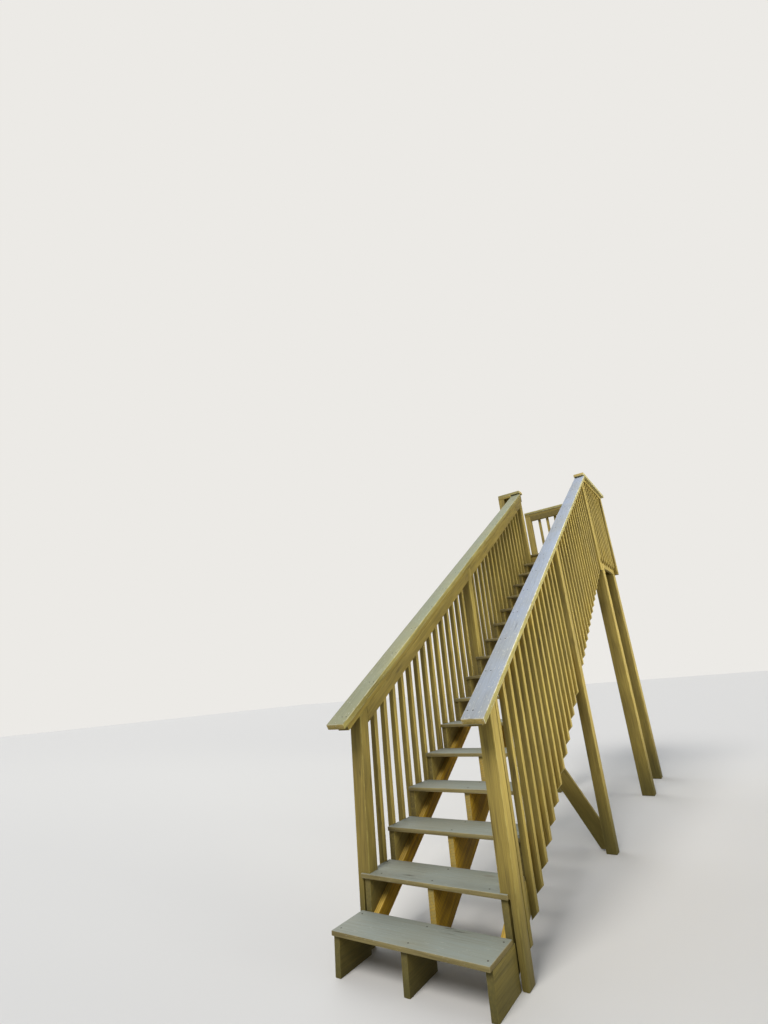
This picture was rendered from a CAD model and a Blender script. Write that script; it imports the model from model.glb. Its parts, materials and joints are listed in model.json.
"""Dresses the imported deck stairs: eased and stained lumber, fasteners, a plain studio and the camera."""

import json
import logging
import math
import random
from dataclasses import dataclass, field
from enum import Enum
from typing import Any

import bpy
from mathutils import Matrix, Vector

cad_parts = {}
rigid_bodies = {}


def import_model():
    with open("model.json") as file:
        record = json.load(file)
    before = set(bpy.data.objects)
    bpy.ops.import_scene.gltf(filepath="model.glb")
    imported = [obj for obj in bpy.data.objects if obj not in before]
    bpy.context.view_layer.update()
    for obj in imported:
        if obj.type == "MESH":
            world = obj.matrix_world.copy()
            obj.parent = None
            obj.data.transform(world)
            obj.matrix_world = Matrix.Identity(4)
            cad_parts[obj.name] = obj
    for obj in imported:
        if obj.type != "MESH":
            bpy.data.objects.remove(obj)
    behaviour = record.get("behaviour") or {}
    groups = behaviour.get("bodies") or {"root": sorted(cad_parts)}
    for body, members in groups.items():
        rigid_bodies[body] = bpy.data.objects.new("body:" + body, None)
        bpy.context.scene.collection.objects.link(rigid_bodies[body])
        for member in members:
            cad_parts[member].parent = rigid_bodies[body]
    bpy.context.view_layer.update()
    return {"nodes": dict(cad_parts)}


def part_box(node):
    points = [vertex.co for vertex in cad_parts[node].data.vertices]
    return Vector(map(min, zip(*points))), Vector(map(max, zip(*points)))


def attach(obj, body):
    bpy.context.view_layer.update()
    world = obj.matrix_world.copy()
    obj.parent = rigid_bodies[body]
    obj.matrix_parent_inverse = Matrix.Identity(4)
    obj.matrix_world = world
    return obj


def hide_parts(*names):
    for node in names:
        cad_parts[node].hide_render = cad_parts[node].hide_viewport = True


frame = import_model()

LOG = logging.getLogger("deck_stairs")
BODY = "root"
SEED = 16
TREADS = 16
Socket = bpy.types.NodeSocket
Tree = bpy.types.NodeTree

# Attributes that the lumber carries for its finishes.
LOG_PLACE = "log_place"
BOARD_TONE = "board_tone"
SAWN_END = "sawn_end"
ARRIS = "arris"

# Sockets of a colour mix.
MIX_A, MIX_B, MIX_OUT = 6, 7, 2

# The slope follows from the lowest corners of the first and last treads.
FIRST_TREAD, LAST_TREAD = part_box("tread_01")[0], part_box(f"tread_{TREADS:02d}")[0]
PITCH = math.atan2(LAST_TREAD.z - FIRST_TREAD.z, LAST_TREAD.y - FIRST_TREAD.y)
# The diagonal brace climbs at about this angle from level.
BRACE_LEAN = math.radians(60)
# Edges sharper than this look sharp, on wood and on metal.
SHARP_LOOK = math.radians(40)
# A face whose normal has more than this much z looks up.
LOOKS_UP = 0.9


def per_metre(millimetres: float) -> float:
    """Turns a pattern's real spacing into how many times it repeats in a metre."""
    return 1000.0 / millimetres


def linear(code: str) -> tuple[float, float, float, float]:
    """Turns an sRGB hex colour into linear values.

    Args:
        code: The colour as six hex digits after a hash sign.

    Returns:
        Red, green, blue and an alpha of one.
    """
    parts = [int(code[i : i + 2], 16) / 255 for i in (1, 3, 5)]
    values = [c / 12.92 if c <= 0.04045 else ((c + 0.055) / 1.055) ** 2.4 for c in parts]
    return values[0], values[1], values[2], 1.0


def add_node(
    tree: Tree,
    kind: str,
    settings: dict[str, Any] | None = None,
    inputs: dict[str | int, Any] | None = None,
) -> bpy.types.Node:
    """Adds a node with its settings and its inputs.

    Args:
        tree: The material's node tree.
        kind: The node's type.
        settings: Properties to set on it.
        inputs: Values for its sockets, or the sockets that feed them.

    Returns:
        The new node.
    """
    node = tree.nodes.new(kind)
    for key, value in (settings or {}).items():
        setattr(node, key, value)
    for key, value in (inputs or {}).items():
        if isinstance(value, Socket):
            tree.links.new(value, node.inputs[key])
        else:
            node.inputs[key].default_value = value
    return node


def new_material(name: str) -> bpy.types.Material:
    """Makes an empty node material.

    Args:
        name: The finish's name.

    Returns:
        The material, with no nodes in it.
    """
    material = bpy.data.materials.new(name)
    material.use_nodes = True
    material.node_tree.nodes.clear()
    return material


def select_only(piece: bpy.types.Object) -> None:
    """Leaves one object selected and active.

    Args:
        piece: The object to select.
    """
    bpy.ops.object.select_all(action="DESELECT")
    piece.select_set(True)
    bpy.context.view_layer.objects.active = piece


def rays_that_show(tree: Tree) -> Socket:
    """Picks the rays that show a background, straight, in a gloss or through glass.

    Args:
        tree: A node tree of the floor or the world.

    Returns:
        One on those rays, nothing on the rays that only carry light.
    """
    rays = add_node(tree, "ShaderNodeLightPath")
    shown = rays.outputs["Is Camera Ray"]
    for other in ("Is Glossy Ray", "Is Transmission Ray"):
        either = add_node(
            tree, "ShaderNodeMath", {"operation": "MAXIMUM"}, {0: shown, 1: rays.outputs[other]}
        )
        shown = either.outputs[0]
    return shown


@dataclass(frozen=True)
class WoodFinish:
    """A stained or bare softwood with growth rings, splits, knots, worn edges and weather.

    Colours are sRGB hex values of what the eye sees in open shade. Figure, fade, check, scuff, damp,
    knot and wear say how strongly each one shows, and damp_top is the height in metres that damp reaches.
    """

    name: str
    dark: str
    light: str
    faded: str
    end: str
    edge: str
    fade: float
    figure: float = 0.3
    ring_mm: float = 9.0
    fibre_mm: float = 7.0
    check: float = 0.6
    scuff: float = 0.0
    damp: float = 0.0
    damp_top: float = 0.1
    knot: float = 0.25
    wear: float = 0.35
    roughness: float = 0.74
    knot_brown: str = "#523a14"
    split_brown: str = "#3a3020"
    pale_fleck: str = "#d9d6c6"
    damp_green: str = "#45451f"

    def material(self) -> bpy.types.Material:
        """Builds the finish once.

        Returns:
            The material.
        """
        known = bpy.data.materials.get(self.name)
        if known:
            return known
        material = new_material(self.name)
        tree = material.node_tree
        place = add_node(tree, "ShaderNodeTexCoord")
        log = add_node(tree, "ShaderNodeAttribute", {"attribute_name": LOG_PLACE}).outputs["Vector"]
        rings = self._rings(tree, log)
        broad_mm = 7 * self.fibre_mm
        fine = self._streaks(
            tree, log, long_mm=30 * self.fibre_mm, wide_mm=self.fibre_mm, detail=3.0, distortion=0.3
        )
        broad = self._streaks(
            tree, log, long_mm=9 * broad_mm, wide_mm=broad_mm, detail=3.0, distortion=0.3
        )
        blotch = add_node(
            tree, "ShaderNodeTexNoise", None,
            {"Vector": place.outputs["Object"], "Scale": per_metre(420), "Detail": 4.0},
        ).outputs["Fac"]
        split = self._checks(tree, log)
        layers = (
            (self._faded_tops(tree, place, blotch, fine), self.faded),
            (self._knots(tree, log), self.knot_brown),
            (split, self.split_brown),
            (self._sawn_ends(tree, place), self.end),
            (self._worn_edges(tree, place), self.edge),
            (self._scuffs(tree, log), self.pale_fleck),
            (self._damp_foot(tree, place, blotch), self.damp_green),
        )
        colour = self._board_tone(tree, self._body(tree, rings, fine, broad))
        for amount, over in layers:
            mixed = add_node(
                tree, "ShaderNodeMix", {"data_type": "RGBA"},
                {0: amount, MIX_A: colour, MIX_B: linear(over)},
            )
            colour = mixed.outputs[MIX_OUT]
        self._shade(tree, colour, rings, fine, split, blotch)
        return material

    def _rings(self, tree: Tree, log: Socket) -> Socket:
        """Cuts the board's faces through the log's growth rings, which gives the wood its figure.

        Real rings are 3 to 5 mm apart, and are drawn wider so that they show.

        Args:
            tree: The material's node tree.
            log: Places in the log, with x along the grain.

        Returns:
            The dark late wood, from 0 to 1.
        """
        # A log's rings change far more slowly along its length than across it.
        drawn_out = add_node(
            tree, "ShaderNodeVectorMath", {"operation": "MULTIPLY"}, {0: log, 1: (0.12, 1.0, 1.0)}
        )
        # At a scale of one, the wave's rings are pi / 10 metres apart.
        wave = add_node(
            tree, "ShaderNodeTexWave", {"wave_type": "RINGS", "rings_direction": "X"},
            {
                "Vector": drawn_out.outputs[0], "Scale": math.pi / 10 * per_metre(self.ring_mm),
                "Distortion": 9.0, "Detail": 2.0, "Detail Scale": 0.22, "Detail Roughness": 0.45,
            },
        )
        late = add_node(
            tree, "ShaderNodeMath", {"operation": "POWER"}, {0: wave.outputs["Fac"], 1: 2.2}
        )
        return late.outputs[0]

    def _streaks(
        self, tree: Tree, log: Socket, long_mm: float, wide_mm: float, detail: float,
        distortion: float = 0.0,
    ) -> Socket:
        """Adds a noise that is stretched along the grain.

        Args:
            tree: The material's node tree.
            log: Places in the log, with x along the grain.
            long_mm: Length of a streak.
            wide_mm: Width of a streak.
            detail: How many finer layers the noise has.
            distortion: How much the streaks wander.

        Returns:
            The streaks, from 0 to 1.
        """
        across = per_metre(wide_mm)
        scaled = add_node(
            tree, "ShaderNodeVectorMath", {"operation": "MULTIPLY"},
            {0: log, 1: (per_metre(long_mm), across, across)},
        )
        noise = add_node(
            tree, "ShaderNodeTexNoise", None,
            {"Vector": scaled.outputs[0], "Scale": 1.0, "Detail": detail, "Distortion": distortion},
        )
        return noise.outputs["Fac"]

    def _body(self, tree: Tree, rings: Socket, fine: Socket, broad: Socket) -> Socket:
        """Mixes the wood's two colours by its streaks and rings.

        Args:
            tree: The material's node tree.
            rings: The dark late wood.
            fine: Narrow streaks.
            broad: Wide streaks.

        Returns:
            The colour.
        """
        streaks = add_node(
            tree, "ShaderNodeMix", {"data_type": "FLOAT"}, {0: 0.5, 2: fine, 3: broad}
        )
        spread = add_node(
            tree, "ShaderNodeMapRange", None,
            {"Value": streaks.outputs[0], "From Min": 0.34, "From Max": 0.62},
        )
        tone = add_node(
            tree, "ShaderNodeMath", {"operation": "MULTIPLY_ADD", "use_clamp": True},
            {0: rings, 1: -self.figure, 2: spread.outputs[0]},
        )
        mixed = add_node(
            tree, "ShaderNodeMix", {"data_type": "RGBA"},
            {0: tone.outputs[0], MIX_A: linear(self.dark), MIX_B: linear(self.light)},
        )
        return mixed.outputs[MIX_OUT]

    def _board_tone(self, tree: Tree, colour: Socket) -> Socket:
        """Makes some boards a little darker than others.

        Args:
            tree: The material's node tree.
            colour: The colour so far.

        Returns:
            The colour with a tone for each board.
        """
        tone = add_node(tree, "ShaderNodeAttribute", {"attribute_name": BOARD_TONE})
        value = add_node(
            tree, "ShaderNodeMapRange", None,
            {"Value": tone.outputs["Fac"], "To Min": 0.87, "To Max": 1.1},
        )
        toned = add_node(
            tree, "ShaderNodeHueSaturation", None, {"Value": value.outputs[0], "Color": colour}
        )
        return toned.outputs[0]

    def _faded_tops(
        self, tree: Tree, place: bpy.types.Node, blotch: Socket, fine: Socket
    ) -> Socket:
        """Finds the faces that look up, which sun, rain and feet fade unevenly.

        Args:
            tree: The material's node tree.
            place: The texture coordinate node.
            blotch: Wide soft patches.
            fine: Narrow streaks.

        Returns:
            How far the colour has faded.
        """
        parts = add_node(tree, "ShaderNodeSeparateXYZ", None, {0: place.outputs["Normal"]})
        upward = add_node(
            tree, "ShaderNodeMapRange", None,
            {"Value": parts.outputs["Z"], "From Min": 0.5, "From Max": 0.8, "To Max": self.fade},
        )
        patches = add_node(
            tree, "ShaderNodeMapRange", None,
            {"Value": blotch, "From Min": 0.35, "From Max": 0.6, "To Min": 0.78},
        )
        streak = add_node(
            tree, "ShaderNodeMapRange", None,
            {"Value": fine, "From Min": 0.35, "From Max": 0.55, "To Min": 0.82},
        )
        amount = add_node(
            tree, "ShaderNodeMath", {"operation": "MULTIPLY"},
            {0: upward.outputs[0], 1: patches.outputs[0]},
        )
        amount = add_node(
            tree, "ShaderNodeMath", {"operation": "MULTIPLY"},
            {0: amount.outputs[0], 1: streak.outputs[0]},
        )
        return amount.outputs[0]

    def _knots(self, tree: Tree, log: Socket) -> Socket:
        """Places knots, stretched a little along the grain.

        Args:
            tree: The material's node tree.
            log: Places in the log, with x along the grain.

        Returns:
            How strongly a knot shows.
        """
        scaled = add_node(
            tree, "ShaderNodeVectorMath", {"operation": "MULTIPLY"},
            {0: log, 1: (per_metre(430), per_metre(190), per_metre(190))},
        )
        cells = add_node(
            tree, "ShaderNodeTexVoronoi", None, {"Vector": scaled.outputs[0], "Scale": 1.0}
        )
        knot = add_node(
            tree, "ShaderNodeMapRange", None,
            {
                "Value": cells.outputs["Distance"], "From Min": 0.05, "From Max": 0.12,
                "To Min": self.knot, "To Max": 0.0,
            },
        )
        return knot.outputs[0]

    def _checks(self, tree: Tree, log: Socket) -> Socket:
        """Places the thin dark splits that drying opens along the grain.

        They are about 1 mm wide on real lumber, and are drawn 4 mm wide so that they show.

        Args:
            tree: The material's node tree.
            log: Places in the log, with x along the grain.

        Returns:
            How strongly a split shows.
        """
        seams = self._streaks(tree, log, long_mm=900, wide_mm=34, detail=1.0)
        away = add_node(tree, "ShaderNodeMath", {"operation": "SUBTRACT"}, {0: seams, 1: 0.5})
        size = add_node(tree, "ShaderNodeMath", {"operation": "ABSOLUTE"}, {0: away.outputs[0]})
        line = add_node(
            tree, "ShaderNodeMapRange", None,
            {"Value": size.outputs[0], "From Max": 0.016, "To Min": 1.0, "To Max": 0.0},
        )
        where = add_node(
            tree, "ShaderNodeTexNoise", None, {"Vector": log, "Scale": per_metre(600), "Detail": 1.0}
        )
        some = add_node(
            tree, "ShaderNodeMapRange", None,
            {"Value": where.outputs["Fac"], "From Min": 0.54, "From Max": 0.62, "To Max": self.check},
        )
        mask = add_node(
            tree, "ShaderNodeMath", {"operation": "MULTIPLY"},
            {0: line.outputs[0], 1: some.outputs[0]},
        )
        return mask.outputs[0]

    def _sawn_ends(self, tree: Tree, place: bpy.types.Node) -> Socket:
        """Finds the sawn ends, because end grain drinks more stain and dirt.

        Args:
            tree: The material's node tree.
            place: The texture coordinate node.

        Returns:
            How strongly the end grain shows.
        """
        end = add_node(tree, "ShaderNodeAttribute", {"attribute_name": SAWN_END})
        pores = add_node(
            tree, "ShaderNodeTexNoise", None,
            {"Vector": place.outputs["Object"], "Scale": per_metre(13), "Detail": 3.0},
        )
        amount = add_node(
            tree, "ShaderNodeMapRange", None,
            {"Value": end.outputs["Fac"], "From Min": 0.45, "From Max": 0.8, "To Max": 0.85},
        )
        uneven = add_node(
            tree, "ShaderNodeMapRange", None,
            {"Value": pores.outputs["Fac"], "From Min": 0.3, "From Max": 0.6, "To Min": 0.45},
        )
        blend = add_node(
            tree, "ShaderNodeMath", {"operation": "MULTIPLY"},
            {0: amount.outputs[0], 1: uneven.outputs[0]},
        )
        return blend.outputs[0]

    def _worn_edges(self, tree: Tree, place: bpy.types.Node) -> Socket:
        """Rubs the stain thin along the eased edges, in patches.

        Args:
            tree: The material's node tree.
            place: The texture coordinate node.

        Returns:
            How much stain is rubbed off.
        """
        edge = add_node(tree, "ShaderNodeAttribute", {"attribute_name": ARRIS})
        rubbed = add_node(
            tree, "ShaderNodeTexNoise", None,
            {"Vector": place.outputs["Object"], "Scale": per_metre(60), "Detail": 3.0},
        )
        patches = add_node(
            tree, "ShaderNodeMapRange", None,
            {"Value": rubbed.outputs["Fac"], "From Min": 0.4, "From Max": 0.58, "To Max": self.wear},
        )
        amount = add_node(
            tree, "ShaderNodeMath", {"operation": "MULTIPLY"},
            {0: edge.outputs["Fac"], 1: patches.outputs[0]},
        )
        return amount.outputs[0]

    def _scuffs(self, tree: Tree, log: Socket) -> Socket:
        """Chips the stain in small flecks along the grain.

        Real flecks are 2 to 5 mm long, and are drawn about 9 mm long so that they show.

        Args:
            tree: The material's node tree.
            log: Places in the log, with x along the grain.

        Returns:
            How strongly a fleck shows.
        """
        chips = self._streaks(tree, log, long_mm=26, wide_mm=9, detail=2.0)
        fleck = add_node(
            tree, "ShaderNodeMapRange", None,
            {"Value": chips, "From Min": 0.64, "From Max": 0.7, "To Max": self.scuff},
        )
        return fleck.outputs[0]

    def _damp_foot(self, tree: Tree, place: bpy.types.Node, blotch: Socket) -> Socket:
        """Finds the wood near the ground, where rain splashes and damp rises.

        Args:
            tree: The material's node tree.
            place: The texture coordinate node.
            blotch: Wide soft patches, which break the stain's edge.

        Returns:
            How damp the wood is.
        """
        parts = add_node(tree, "ShaderNodeSeparateXYZ", None, {0: place.outputs["Object"]})
        height = add_node(
            tree, "ShaderNodeMath", {"operation": "MULTIPLY_ADD"},
            {0: blotch, 1: -0.22, 2: parts.outputs["Z"]},
        )
        stain = add_node(
            tree, "ShaderNodeMapRange", {"interpolation_type": "SMOOTHSTEP"},
            {
                "Value": height.outputs[0], "From Min": -0.12, "From Max": self.damp_top,
                "To Min": self.damp, "To Max": 0.0,
            },
        )
        return stain.outputs[0]

    def _shade(
        self, tree: Tree, colour: Socket, rings: Socket, fine: Socket, split: Socket, blotch: Socket
    ) -> None:
        """Ends the tree in a shader, with raised rings, fibres and splits as bump.

        Args:
            tree: The material's node tree.
            colour: The finished colour.
            rings: The late wood, which stands proud of the worn early wood.
            fine: Narrow streaks.
            split: The splits' mask.
            blotch: Wide soft patches, which vary the sheen.
        """
        raised = add_node(
            tree, "ShaderNodeMath", {"operation": "MULTIPLY_ADD"}, {0: rings, 1: 0.35, 2: fine}
        )
        height = add_node(
            tree, "ShaderNodeMath", {"operation": "MULTIPLY_ADD"},
            {0: split, 1: -1.6, 2: raised.outputs[0]},
        )
        bump = add_node(
            tree, "ShaderNodeBump", None,
            {"Height": height.outputs[0], "Strength": 0.45, "Distance": 0.002},
        )
        rough = add_node(
            tree, "ShaderNodeMapRange", None,
            {
                "Value": blotch, "From Min": 0.3, "From Max": 0.7,
                "To Min": self.roughness - 0.08, "To Max": self.roughness + 0.1,
            },
        )
        shader = add_node(
            tree, "ShaderNodeBsdfPrincipled", None,
            {
                "Base Color": colour, "Roughness": rough.outputs[0],
                "Normal": bump.outputs[0], "IOR": 1.45,
            },
        )
        add_node(tree, "ShaderNodeOutputMaterial", None, {"Surface": shader.outputs[0]})


@dataclass(frozen=True)
class MetalFinish:
    """Coated steel: one colour with darker, rusty patches."""

    name: str
    clean: str
    rusty: str
    rust: float
    metallic: float

    def material(self) -> bpy.types.Material:
        """Builds the finish once.

        Returns:
            The material.
        """
        known = bpy.data.materials.get(self.name)
        if known:
            return known
        material = new_material(self.name)
        tree = material.node_tree
        place = add_node(tree, "ShaderNodeTexCoord")
        patches = add_node(
            tree, "ShaderNodeTexNoise", None,
            {"Vector": place.outputs["Object"], "Scale": per_metre(9), "Detail": 3.0},
        )
        amount = add_node(
            tree, "ShaderNodeMapRange", None,
            {"Value": patches.outputs["Fac"], "From Min": 0.4, "From Max": 0.6, "To Max": self.rust},
        )
        colour = add_node(
            tree, "ShaderNodeMix", {"data_type": "RGBA"},
            {0: amount.outputs[0], MIX_A: linear(self.clean), MIX_B: linear(self.rusty)},
        )
        rough = add_node(
            tree, "ShaderNodeMapRange", None,
            {"Value": patches.outputs["Fac"], "To Min": 0.42, "To Max": 0.75},
        )
        shader = add_node(
            tree, "ShaderNodeBsdfPrincipled", None,
            {
                "Base Color": colour.outputs[MIX_OUT], "Metallic": self.metallic,
                "Roughness": rough.outputs[0],
            },
        )
        add_node(tree, "ShaderNodeOutputMaterial", None, {"Surface": shader.outputs[0]})
        return material


# Olive-tan semi-solid deck stain, brushed on pine some years ago: matte, with the grain showing.
DECK_STAIN = WoodFinish(
    "semi_solid_deck_stain",
    dark="#7c6b34", light="#a48f46", faded="#9c9464", end="#665a2f", edge="#bdae62",
    fade=0.5, figure=0.12, damp=0.6, damp_top=0.5,
)
# The same stain where feet have worn it: grey-green wood fibres show on the top.
WORN_STAIN = WoodFinish(
    "foot_worn_deck_stain",
    dark="#6e623c", light="#8f8254", faded="#8e948b", end="#7c6c42", edge="#a99d76",
    fade=1.0, figure=0.35, ring_mm=11.0, check=0.7, scuff=0.1,
)
# The sunny rail caps' stain, bleached by sun and hands to a pale blue-grey.
BLEACHED_STAIN = WoodFinish(
    "sun_bleached_deck_stain",
    dark="#857945", light="#aca164", faded="#9faabc", end="#d0b468", edge="#d6d4c2",
    fade=1.0, figure=0.25, check=0.4, scuff=0.5, wear=0.8,
)
# The shaded rail cap keeps more of its olive stain.
SHADED_STAIN = WoodFinish(
    "half_bleached_deck_stain",
    dark="#7f733c", light="#ac9f5c", faded="#8f947f", end="#c0a864", edge="#bfbb9e",
    fade=1.0, figure=0.25, check=0.4, scuff=0.35, wear=0.7,
)
# Pressure-treated pine that was never stained: golden, with knots and plain growth rings.
TREATED_PINE = WoodFinish(
    "pressure_treated_pine",
    dark="#9a7410", light="#dcae22", faded="#a69a62", end="#93854f", edge="#b5a468",
    fade=0.4, figure=0.5, ring_mm=13.0, check=0.5, damp=0.7, knot=0.8,
)
# Hot-dipped zinc screws and nails, dulled and spotted with rust.
DULL_ZINC = MetalFinish(
    "hot_dipped_zinc", clean="#3e3a33", rusty="#3a281b", rust=0.9, metallic=0.4
)
# Nail heads that were brushed over with the deck stain.
STAINED_HEADS = MetalFinish(
    "stained_nail_heads", clean="#7c7138", rusty="#5a4a26", rust=0.6, metallic=0.0
)


@dataclass(frozen=True)
class Stock:
    """One kind of board: its finish, the record's material slot and its eased edges' width in metres."""

    finish: WoodFinish
    slot: str
    ease: float


# Stringers and their stiffeners keep nearly square edges, and posts and treads are rounder.
STAINED_STRINGER = Stock(DECK_STAIN, "painted_lumber", ease=0.0015)
BARE_STRINGER = Stock(TREATED_PINE, "bare_lumber", ease=0.0015)
STEP_BLOCK = Stock(DECK_STAIN, "painted_lumber", ease=0.002)
BALUSTER = Stock(DECK_STAIN, "painted_lumber", ease=0.002)
STAINED_BOARD = Stock(DECK_STAIN, "painted_lumber", ease=0.003)
BARE_JOIST = Stock(TREATED_PINE, "bare_lumber", ease=0.003)
STEP_BOARD = Stock(WORN_STAIN, "worn_boards", ease=0.004)
SUNNY_CAP = Stock(BLEACHED_STAIN, "rail_caps", ease=0.004)
SHADED_CAP = Stock(SHADED_STAIN, "rail_caps", ease=0.004)
RAIL_POST = Stock(DECK_STAIN, "painted_lumber", ease=0.005)
THICK_POST = Stock(DECK_STAIN, "painted_lumber", ease=0.006)


class Grain(Enum):
    """The way a board's grain runs."""

    ACROSS = "x"
    ALONG = "y"
    UP = "z"
    SLOPE = "up the flight"
    BRACE = "up the brace"
    LONGEST = "along the board's longest side"

    def axis(self, low: Vector, high: Vector) -> Vector:
        """Gives the grain's direction in the row frame.

        Args:
            low: The board's lowest corner.
            high: The board's highest corner.

        Returns:
            A unit vector along the grain.
        """
        size = high - low
        plain = {
            Grain.ACROSS: Vector((1, 0, 0)),
            Grain.ALONG: Vector((0, 1, 0)),
            Grain.UP: Vector((0, 0, 1)),
            Grain.SLOPE: Vector((0, math.cos(PITCH), math.sin(PITCH))),
            Grain.BRACE: Vector((-math.cos(BRACE_LEAN), 0, math.sin(BRACE_LEAN))),
        }
        if self in plain:
            return plain[self]
        longest = max(range(3), key=lambda k: size[k])
        return plain[(Grain.ACROSS, Grain.ALONG, Grain.UP)[longest]]


def islands(mesh: bpy.types.Mesh) -> list[list[int]]:
    """Finds the separate solids of a mesh.

    Args:
        mesh: A mesh whose doubles are merged.

    Returns:
        The vertex numbers of each solid, in order of its first vertex.
    """
    parent = list(range(len(mesh.vertices)))

    def root(index: int) -> int:
        """Follows a vertex to the first one of its solid.

        Args:
            index: The vertex's number.

        Returns:
            The first vertex's number.
        """
        while parent[index] != index:
            parent[index] = parent[parent[index]]
            index = parent[index]
        return index

    for edge in mesh.edges:
        a, b = root(edge.vertices[0]), root(edge.vertices[1])
        parent[max(a, b)] = min(a, b)
    groups: dict[int, list[int]] = {}
    for index in range(len(mesh.vertices)):
        groups.setdefault(root(index), []).append(index)
    return [groups[key] for key in sorted(groups)]


def corners(mesh: bpy.types.Mesh, members: list[int]) -> tuple[Vector, Vector]:
    """Gives the box of some of a mesh's vertices.

    Args:
        mesh: The mesh.
        members: The vertices' numbers.

    Returns:
        Lowest and highest corners.
    """
    points = [mesh.vertices[i].co for i in members]
    low = Vector([min(p[k] for p in points) for k in range(3)])
    high = Vector([max(p[k] for p in points) for k in range(3)])
    return low, high


def boxes(piece: bpy.types.Object) -> list[tuple[Vector, Vector]]:
    """Gives the lowest and highest corners of each separate solid in a piece."""
    return [corners(piece.data, members) for members in islands(piece.data)]


@dataclass
class Lumber:
    """Turns CAD nodes into eased, stained boards, each cut from its own place in a log.

    Lengths are in metres. The pith lies pith_near to pith_far out from a board's wide face, and up to
    off_centre of the board's size to one side.
    """

    nodes: dict[str, bpy.types.Object]
    draw: random.Random = field(default_factory=lambda: random.Random(SEED))
    log_length: float = 40.0
    pith_near: float = 0.01
    pith_far: float = 0.08
    off_centre: float = 0.35
    weld: float = 0.00005
    flat_deg: float = 0.5
    eased_from_deg: float = 30.0

    def board(self, node: str, stock: Stock, grain: Grain) -> bpy.types.Object:
        """Makes the piece that stands for a node.

        Args:
            node: The CAD node's name.
            stock: The kind of board.
            grain: The way its grain runs.

        Returns:
            The finished piece.
        """
        piece = self._merged_copy(node)
        self._dress(piece, stock, grain)
        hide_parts(node)
        return piece

    def one_more(
        self, like: str, title: str, shift: Vector, stock: Stock, grain: Grain
    ) -> bpy.types.Object:
        """Makes a board of its own, like the lowest one of a node, at another place.

        Args:
            like: The CAD node's name.
            title: The new piece's name.
            shift: From the node's lowest board to the new one.
            stock: The kind of board.
            grain: The way its grain runs.

        Returns:
            The finished piece.
        """
        piece = self._merged_copy(like)
        piece.name = title
        mesh = piece.data
        lowest = set(min(islands(mesh), key=lambda members: corners(mesh, members)[0].z))
        bpy.ops.object.mode_set(mode="EDIT")
        bpy.ops.mesh.select_mode(type="VERT")
        bpy.ops.mesh.select_all(action="DESELECT")
        bpy.ops.object.mode_set(mode="OBJECT")
        for vertex in mesh.vertices:
            vertex.select = vertex.index not in lowest
        bpy.ops.object.mode_set(mode="EDIT")
        bpy.ops.mesh.delete(type="VERT")
        bpy.ops.mesh.select_all(action="SELECT")
        bpy.ops.transform.translate(value=shift)
        bpy.ops.object.mode_set(mode="OBJECT")
        self._dress(piece, stock, grain)
        return piece

    def _dress(self, piece: bpy.types.Object, stock: Stock, grain: Grain) -> None:
        """Eases a piece's edges, marks its boards and gives it its finish.

        Args:
            piece: The piece.
            stock: The kind of board.
            grain: The way its grain runs.
        """
        materials = piece.data.materials
        materials.append(stock.finish.material())
        materials.append(stock.finish.material())
        select_only(piece)
        bevel = piece.modifiers.new("eased_edges", "BEVEL")
        bevel.width = stock.ease
        bevel.segments = 2
        bevel.limit_method = "ANGLE"
        bevel.angle_limit = math.radians(self.eased_from_deg)
        bevel.material = 1
        bpy.ops.object.modifier_apply(modifier=bevel.name)
        bpy.ops.object.shade_smooth_by_angle(angle=SHARP_LOOK)
        self._mark_boards(piece.data, grain)
        # The second slot only marked the eased edges.
        materials.pop(index=1)
        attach(piece, BODY)

    def _merged_copy(self, node: str) -> bpy.types.Object:
        """Copies a node's mesh and joins its loose triangles into whole faces.

        Args:
            node: The CAD node's name.

        Returns:
            The new object.
        """
        mesh = self.nodes[node].data.copy()
        mesh.materials.clear()
        piece = bpy.data.objects.new(f"{node}_lumber", mesh)
        bpy.context.scene.collection.objects.link(piece)
        select_only(piece)
        bpy.ops.object.mode_set(mode="EDIT")
        bpy.ops.mesh.select_all(action="SELECT")
        bpy.ops.mesh.remove_doubles(threshold=self.weld)
        bpy.ops.mesh.dissolve_limited(angle_limit=math.radians(self.flat_deg))
        bpy.ops.object.mode_set(mode="OBJECT")
        if mesh.has_custom_normals:
            bpy.ops.mesh.customdata_custom_splitnormals_clear()
        return piece

    def _mark_boards(self, mesh: bpy.types.Mesh, grain: Grain) -> None:
        """Writes each board's place in its log, its tone, its sawn ends and its eased edges.

        Args:
            mesh: The mesh to mark.
            grain: The way its boards' grain runs.
        """
        places = [0.0] * (3 * len(mesh.vertices))
        tones = [0.0] * len(mesh.vertices)
        ways = [Vector()] * len(mesh.vertices)
        for members in islands(mesh):
            tone = self.draw.random()
            low, high = corners(mesh, members)
            along = grain.axis(low, high)
            turn, pith = self._log_frame(mesh, members, along, (low + high) / 2)
            for index in members:
                places[3 * index : 3 * index + 3] = turn @ mesh.vertices[index].co - pith
                tones[index] = tone
                ways[index] = along
        ends = [abs(face.normal.dot(ways[face.vertices[0]])) for face in mesh.polygons]
        eased = [float(face.material_index) for face in mesh.polygons]
        mesh.attributes.new(LOG_PLACE, "FLOAT_VECTOR", "POINT").data.foreach_set("vector", places)
        mesh.attributes.new(BOARD_TONE, "FLOAT", "POINT").data.foreach_set("value", tones)
        mesh.attributes.new(SAWN_END, "FLOAT", "FACE").data.foreach_set("value", ends)
        mesh.attributes.new(ARRIS, "FLOAT", "FACE").data.foreach_set("value", eased)

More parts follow.
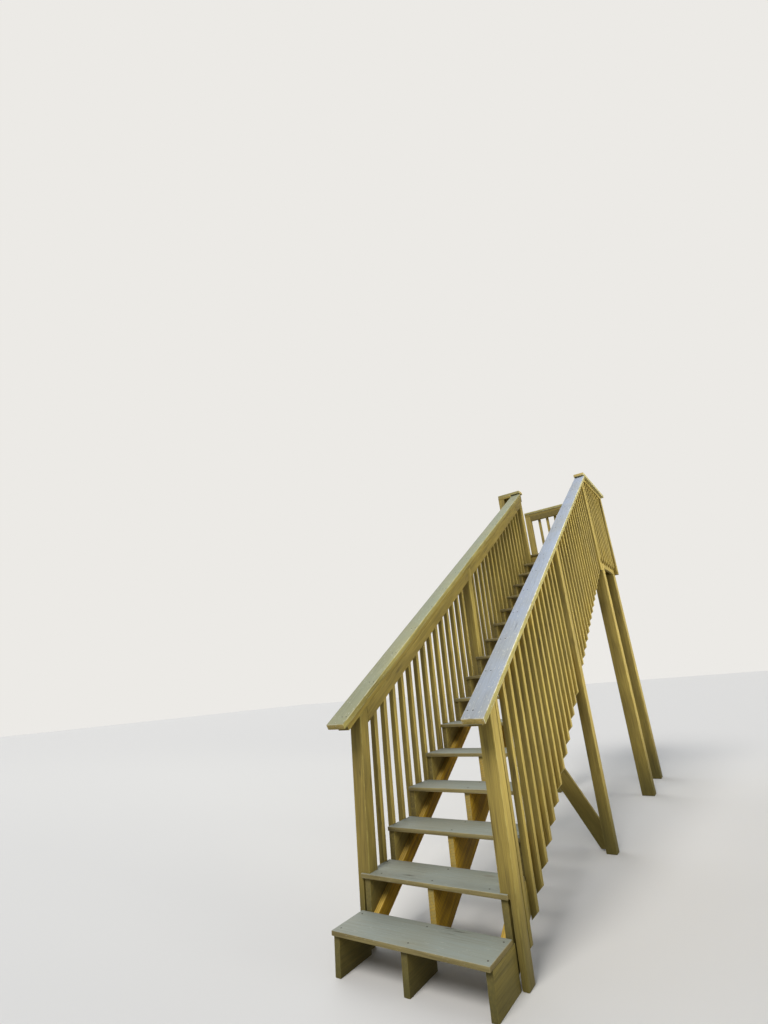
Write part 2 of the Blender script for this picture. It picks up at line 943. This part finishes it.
    def _log_frame(
        self, mesh: bpy.types.Mesh, members: list[int], along: Vector, middle: Vector
    ) -> tuple[Matrix, Vector]:
        """Chooses where in a log a board was sawn: beside the pith, on its wide side.

        Args:
            mesh: The board's mesh.
            members: The board's vertices.
            along: The grain's direction.
            middle: The board's middle.

        Returns:
            The turn that lays the grain along x, and the pith's place after that turn.
        """
        steep = abs(along.z) > math.sin(math.pi / 4)
        aside = Vector((1, 0, 0)) if steep else Vector((0, 0, 1))
        across = aside.cross(along).normalized()
        turn = Matrix((along, across, along.cross(across)))
        turned = [turn @ mesh.vertices[i].co for i in members]
        spans = [max(p[k] for p in turned) - min(p[k] for p in turned) for k in (1, 2)]
        pith = turn @ middle
        pith.x -= self.draw.uniform(0.0, self.log_length)
        for k, span in enumerate(spans):
            pith[k + 1] += self.draw.uniform(-self.off_centre, self.off_centre) * span
        thin = 1 if spans[0] < spans[1] else 2
        reach = min(spans) / 2 + self.draw.uniform(self.pith_near, self.pith_far)
        pith[thin] += self.draw.choice((-1, 1)) * reach
        return turn, pith


class Facing(Enum):
    """The way a fastener's head looks, as the turn from +z."""

    UP = Matrix.Identity(4)
    RIGHT = Matrix.Rotation(math.pi / 2, 4, "Y")
    LEFT = Matrix.Rotation(-math.pi / 2, 4, "Y")
    SLOPE = Matrix.Rotation(PITCH, 4, "X")


@dataclass
class Fasteners:
    """Screws and nails, each modelled once and copied to its places.

    Sizes are in metres. A head stands a little proud of the wood, and its rim is a share of its radius.
    """

    screw_radius: float = 0.0048
    screw_sides: int = 10
    screw_recess: float = 0.0005
    nail_radius: float = 0.0045
    nail_sides: int = 8
    nail_crown: float = 0.0003
    rim: float = 0.45
    proud: float = 0.0008
    length: float = 0.003

    def screw(self) -> bpy.types.Object:
        """Models a deck screw's head, facing up at the origin: a low disc with a driven recess."""
        return self._head(self.screw_radius, self.screw_sides, -self.screw_recess)

    def nail(self) -> bpy.types.Object:
        """Models a nail's head, facing up at the origin: a thin disc, crowned in the middle."""
        return self._head(self.nail_radius, self.nail_sides, self.nail_crown)

    def _head(self, radius: float, sides: int, lift: float) -> bpy.types.Object:
        """Makes a disc, insets its top face and sinks or lifts the middle.

        Args:
            radius: Radius of the head.
            sides: How many sides it has.
            lift: How far its middle rises, or sinks below zero.

        Returns:
            The head, facing up at the origin.
        """
        bpy.ops.object.select_all(action="DESELECT")
        bpy.ops.mesh.primitive_cylinder_add(
            vertices=sides, radius=radius, depth=self.length,
            location=(0, 0, self.proud - self.length / 2),
        )
        head = bpy.context.object
        bpy.ops.object.transform_apply(location=True, rotation=True, scale=True)
        bpy.ops.object.mode_set(mode="EDIT")
        bpy.ops.mesh.select_mode(type="FACE")
        bpy.ops.mesh.select_all(action="DESELECT")
        bpy.ops.object.mode_set(mode="OBJECT")
        for face in head.data.polygons:
            face.select = face.normal.z > LOOKS_UP
        bpy.ops.object.mode_set(mode="EDIT")
        bpy.ops.mesh.inset(thickness=radius * self.rim)
        bpy.ops.transform.translate(value=(0, 0, lift))
        bpy.ops.object.mode_set(mode="OBJECT")
        return head

    def scatter(
        self,
        model: bpy.types.Object,
        title: str,
        finish: MetalFinish,
        places: list[tuple[Vector, Facing]],
    ) -> bpy.types.Object:
        """Copies a head to its places and joins the copies into one piece.

        Args:
            model: The head, facing up at the origin.
            title: The piece's name.
            finish: The metal's finish.
            places: Points on the wood, each with the way the head looks.

        Returns:
            The joined piece.
        """
        copies = []
        for point, facing in places:
            copy = bpy.data.objects.new(title, model.data.copy())
            copy.data.transform(Matrix.Translation(point) @ facing.value)
            bpy.context.scene.collection.objects.link(copy)
            copies.append(copy)
        bpy.ops.object.select_all(action="DESELECT")
        for copy in copies:
            copy.select_set(True)
        bpy.context.view_layer.objects.active = copies[0]
        bpy.ops.object.join()
        bpy.data.objects.remove(model)
        piece = bpy.context.object
        piece.name = title
        bpy.ops.object.shade_smooth_by_angle(angle=SHARP_LOOK)
        piece.data.materials.clear()
        piece.data.materials.append(finish.material())
        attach(piece, BODY)
        return piece


@dataclass
class Flight:
    """Stringers, their stiffeners, the first step's blocks, the treads and the brace.

    A screw stands edge_gap in from its tread's edge, and post_gap away from a post in its way.
    """

    lumber: Lumber
    fasteners: Fasteners
    edge_gap: float = 0.045
    post_gap: float = 0.07
    post_margin: float = 0.01

    def build(self) -> None:
        """Builds and dresses the flight."""
        for node in ("stringer_left", "stringer_right"):
            self.lumber.board(node, STAINED_STRINGER, Grain.SLOPE)
        for node in ("stringer_middle", "stringer_sisters"):
            self.lumber.board(node, BARE_STRINGER, Grain.SLOPE)
        self.lumber.board("step_blocks", STEP_BLOCK, Grain.ALONG)
        self.lumber.board("middle_brace", STAINED_BOARD, Grain.BRACE)
        for number in range(1, TREADS + 1):
            self.lumber.board(f"tread_{number:02d}", STEP_BOARD, Grain.ACROSS)
        self._tread_screws()

    def _tread_screws(self) -> None:
        """Drives two screws through each tread into each stringer."""
        lines = []
        for name in ("stringer_left", "stringer_middle", "stringer_right"):
            low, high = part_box(name)
            lines.append((low.x + high.x) / 2)
        places = []
        for number in range(1, TREADS + 1):
            low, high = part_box(f"tread_{number:02d}")
            for x in lines:
                for y in (low.y + self.edge_gap, high.y - self.edge_gap):
                    places.append((Vector((self._beside_post(x, y), y, high.z)), Facing.UP))
        self.fasteners.scatter(self.fasteners.screw(), "tread_screws", DULL_ZINC, places)

    def _beside_post(self, x: float, y: float) -> float:
        """Moves a screw towards the middle of its tread where a post stands in its way.

        Args:
            x: The screw's place across the flight.
            y: The screw's place along the flight.

        Returns:
            Its place across the flight, clear of the posts.
        """
        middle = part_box("stringer_middle")[0].x
        for post in ("newel", "middle_post", "top_post"):
            for side in ("left", "right"):
                low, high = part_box(f"{post}_{side}")
                beside = low.y - self.post_margin < y < high.y + self.post_margin
                if beside and low.x < x < high.x:
                    return low.x - self.post_gap if low.x > middle else high.x + self.post_gap
        return x


@dataclass
class Rails:
    """Posts, caps, boards and balusters of the two handrails.

    Nails stand in pairs: cap_nail_lines in from a cap's inner edge, and a way down from a baluster's top
    and up from its foot.
    """

    lumber: Lumber
    fasteners: Fasteners
    first_cap_nail: float = 0.178
    cap_nail_pitch: float = 0.33
    cap_nail_lines: tuple[float, float] = (0.02, 0.054)
    nails_from_top: tuple[float, float] = (0.045, 0.095)
    nails_from_foot: tuple[float, float] = (0.11, 0.2)
    close_step: float = 0.154

    def build(self) -> None:
        """Builds and dresses both rails."""
        for side, cap in (("left", SHADED_CAP), ("right", SUNNY_CAP)):
            for post in ("newel", "middle_post", "top_post"):
                self.lumber.board(f"{post}_{side}", RAIL_POST, Grain.UP)
            self.lumber.board(f"handrail_cap_{side}", cap, Grain.SLOPE)
            for board in ("sub_rail", "rail_boards"):
                self.lumber.board(f"{board}_{side}", STAINED_BOARD, Grain.SLOPE)
            balusters = [self.lumber.board(f"balusters_{side}", BALUSTER, Grain.UP)]
            if side == "right":
                balusters.append(self._baluster_by_newel(side))
            self._baluster_nails(side, balusters)
            self._cap_nails(side)

    def _baluster_by_newel(self, side: str) -> bpy.types.Object:
        """Adds the baluster that stands close behind the newel, one short step below the others.

        Args:
            side: Which rail.

        Returns:
            The baluster.
        """
        shift = Vector((0, -self.close_step, -self.close_step * math.tan(PITCH)))
        # Its own draws leave the other boards' places in their logs as they are.
        spare = Lumber(self.lumber.nodes, random.Random(SEED + 1))
        return spare.one_more(f"balusters_{side}", "baluster_by_newel", shift, BALUSTER, Grain.UP)

    def _baluster_nails(self, side: str, balusters: list[bpy.types.Object]) -> None:
        """Drives two nails through each end of each baluster.

        Args:
            side: Which rail.
            balusters: The pieces that hold the rail's balusters.
        """
        facing = Facing.RIGHT if side == "right" else Facing.LEFT
        places = []
        for low, high in [box for piece in balusters for box in boxes(piece)]:
            x = high.x if side == "right" else low.x
            y = (low.y + high.y) / 2
            heights = [high.z - drop for drop in self.nails_from_top]
            heights += [low.z + rise for rise in self.nails_from_foot]
            places += [(Vector((x, y, z)), facing) for z in heights]
        self.fasteners.scatter(
            self.fasteners.nail(), f"baluster_nails_{side}", STAINED_HEADS, places
        )

    def _cap_nails(self, side: str) -> None:
        """Drives pairs of nails through a cap into the sub-rail under it.

        Args:
            side: Which rail.
        """
        cap = frame["nodes"][f"handrail_cap_{side}"].data
        normal = Vector((0, -math.sin(PITCH), math.cos(PITCH)))
        reach = max(vertex.co.dot(normal) for vertex in cap.vertices)
        low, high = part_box(f"handrail_cap_{side}")
        places = []
        y = FIRST_TREAD.y + self.first_cap_nail
        while y < high.y - self.first_cap_nail:
            z = (reach + y * math.sin(PITCH)) / math.cos(PITCH)
            for inset in self.cap_nail_lines:
                x = low.x + inset if side == "right" else high.x - inset
                places.append((Vector((x, y, z)), Facing.SLOPE))
            y += self.cap_nail_pitch
        self.fasteners.scatter(self.fasteners.nail(), f"cap_nails_{side}", DULL_ZINC, places)


@dataclass
class Landing:
    """The landing's posts, frame, boards and guards, with screws edge_gap in from a board's edge."""

    lumber: Lumber
    fasteners: Fasteners
    edge_gap: float = 0.025

    def build(self) -> None:
        """Builds and dresses the landing."""
        stained = (
            "landing_rims", "landing_side_rims",
            "guard_boards", "guard_sub_rail_sides", "guard_sub_rail_back",
        )
        for node in stained:
            self.lumber.board(node, STAINED_BOARD, Grain.LONGEST)
        self.lumber.board("landing_posts", THICK_POST, Grain.UP)
        self.lumber.board("guard_posts", RAIL_POST, Grain.UP)
        self.lumber.board("guard_balusters", BALUSTER, Grain.UP)
        for node in ("guard_cap_sides", "guard_cap_back"):
            self.lumber.board(node, SUNNY_CAP, Grain.LONGEST)
        joists = self.lumber.board("landing_joists", BARE_JOIST, Grain.ALONG)
        deck = self.lumber.board("landing_deck", STEP_BOARD, Grain.ACROSS)
        self._deck_screws(deck, joists)

    def _deck_screws(self, deck: bpy.types.Object, joists: bpy.types.Object) -> None:
        """Drives two screws through each landing board into each joist.

        Args:
            deck: The landing's boards.
            joists: The joists under them.
        """
        lines = [(low.x + high.x) / 2 for low, high in boxes(joists)]
        places = []
        for low, high in boxes(deck):
            for x in lines:
                for y in (low.y + self.edge_gap, high.y - self.edge_gap):
                    places.append((Vector((x, y, high.z)), Facing.UP))
        self.fasteners.scatter(self.fasteners.screw(), "deck_screws", DULL_ZINC, places)


@dataclass(frozen=True)
class Sun:
    """A distant lamp, with the way to it and the width that it seems to have in the sky."""

    name: str
    toward: tuple[float, float, float]
    strength: float
    width_deg: float
    colour: tuple[float, float, float]


@dataclass
class Studio:
    """Camera, pale floor, soft light and world.

    The camera's place is taken from the middle of the flight's foot, at the first tread's front. The
    softbox's middle is given along the flight and up, and its gap from the right cap's outer edge.
    """

    eye: tuple[float, float, float] = (1.7789, -2.5720, 1.4630)
    right: tuple[float, float, float] = (0.8201, 0.5665, -0.0811)
    up: tuple[float, float, float] = (0.2514, -0.2296, 0.9404)
    forward: tuple[float, float, float] = (-0.5141, 0.7916, 0.3307)
    focal_px: float = 501.2
    photo_height_px: float = 1024.0
    sensor_mm: float = 36.0
    sight: float = 500.0
    floor_half: float = 60.0
    floor_shown: str = "#dcdad6"
    floor_bounce: str = "#8a8777"
    backdrop: str = "#eceae6"
    sky: str = "#e6effc"
    sky_strength: float = 0.4
    key: Sun = Sun(
        "key", toward=(0.0, -0.66, 0.75), strength=2.25, width_deg=25.0, colour=(1.0, 0.98, 0.96)
    )
    fill: Sun = Sun(
        "fill", toward=(-0.75, 0.45, 0.5), strength=0.75, width_deg=60.0, colour=(0.96, 0.98, 1.0)
    )
    softbox_gap: float = 3.2
    softbox_size: tuple[float, float] = (7.6, 4.2)
    softbox_middle: tuple[float, float] = (0.7, 2.6)
    softbox_spread_deg: float = 36.0
    softbox_power: float = 145.0
    softbox_colour: tuple[float, float, float] = (1.0, 0.99, 0.83)

    def build(self) -> None:
        """Sets up the camera, the floor and the light."""
        self._camera()
        self._floor()
        self._world()
        self._suns()
        self._softbox()
        bpy.context.scene.view_settings.view_transform = "Standard"

    def _camera(self) -> None:
        """Places the camera where the photo was taken from."""
        data = bpy.data.cameras.new("camera")
        data.sensor_fit = "VERTICAL"
        data.sensor_height = self.sensor_mm
        data.lens = self.focal_px / self.photo_height_px * self.sensor_mm
        data.clip_end = self.sight
        camera = bpy.data.objects.new("camera", data)
        bpy.context.scene.collection.objects.link(camera)
        turn = Matrix((self.right, self.up, [-c for c in self.forward])).transposed()
        low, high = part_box("stringer_middle")
        foot = Vector(((low.x + high.x) / 2, FIRST_TREAD.y, 0.0))
        place = Matrix.Translation(foot + Vector(self.eye))
        camera.matrix_world = place @ turn.to_quaternion().to_matrix().to_4x4()
        bpy.context.scene.camera = camera

    def _floor(self) -> None:
        """Lays a plain pale floor that throws back less light than it shows."""
        bpy.ops.object.select_all(action="DESELECT")
        bpy.ops.mesh.primitive_plane_add(size=2 * self.floor_half)
        floor = bpy.context.object
        floor.name = "studio_floor"
        material = new_material("pale_studio_floor")
        tree = material.node_tree
        colour = add_node(
            tree, "ShaderNodeMix", {"data_type": "RGBA"},
            {
                0: rays_that_show(tree), MIX_A: linear(self.floor_bounce),
                MIX_B: linear(self.floor_shown),
            },
        )
        shader = add_node(
            tree, "ShaderNodeBsdfPrincipled", None,
            {"Base Color": colour.outputs[MIX_OUT], "Roughness": 0.9},
        )
        add_node(tree, "ShaderNodeOutputMaterial", None, {"Surface": shader.outputs[0]})
        floor.data.materials.append(material)

    def _world(self) -> None:
        """Lights the object from all round, and shows a pale backdrop to the camera."""
        world = bpy.data.worlds.new("studio_world")
        world.use_nodes = True
        tree = world.node_tree
        tree.nodes.clear()
        seen = add_node(
            tree, "ShaderNodeBackground", None, {"Color": linear(self.backdrop), "Strength": 1.0}
        )
        lit = add_node(
            tree, "ShaderNodeBackground", None,
            {"Color": linear(self.sky), "Strength": self.sky_strength},
        )
        mixed = add_node(
            tree, "ShaderNodeMixShader", None,
            {0: rays_that_show(tree), 1: lit.outputs[0], 2: seen.outputs[0]},
        )
        add_node(tree, "ShaderNodeOutputWorld", None, {"Surface": mixed.outputs[0]})
        bpy.context.scene.world = world

    def _suns(self) -> None:
        """Adds a soft key light from above and in front, and a weak fill from the left and behind."""
        for sun in (self.key, self.fill):
            data = bpy.data.lights.new(sun.name, "SUN")
            data.energy = sun.strength
            data.angle = math.radians(sun.width_deg)
            data.color = sun.colour
            lamp = bpy.data.objects.new(sun.name, data)
            bpy.context.scene.collection.objects.link(lamp)
            lamp.rotation_euler = Vector(sun.toward).to_track_quat("Z", "Y").to_euler()

    def _softbox(self) -> None:
        """Stands a large gridded softbox beside the right rail, with a faintly yellow-green light."""
        data = bpy.data.lights.new("side_softbox", "AREA")
        data.shape = "RECTANGLE"
        data.size, data.size_y = self.softbox_size
        data.spread = math.radians(self.softbox_spread_deg)
        data.energy = self.softbox_power
        data.color = self.softbox_colour
        softbox = bpy.data.objects.new("side_softbox", data)
        bpy.context.scene.collection.objects.link(softbox)
        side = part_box("handrail_cap_right")[1].x
        middle = Vector((side + self.softbox_gap, *self.softbox_middle))
        turn = Matrix(((0, 1, 0), (0, 0, 1), (1, 0, 0))).transposed()
        softbox.matrix_world = Matrix.Translation(middle) @ turn.to_4x4()
        softbox.visible_camera = False


def main() -> None:
    """Builds the studio and the stairs in order, and reports each piece."""
    logging.basicConfig(level=logging.INFO)
    lumber = Lumber(frame["nodes"])
    fasteners = Fasteners()
    flight = Flight(lumber, fasteners)
    rails = Rails(lumber, fasteners)
    landing = Landing(lumber, fasteners)
    known = set(bpy.data.objects.keys())
    for assembly in (Studio(), flight, rails, landing):
        assembly.build()
        for name in bpy.data.objects.keys():
            if name not in known:
                LOG.info("%s: %s", type(assembly).__name__, name)
                known.add(name)


if __name__ == "__main__":
    main()
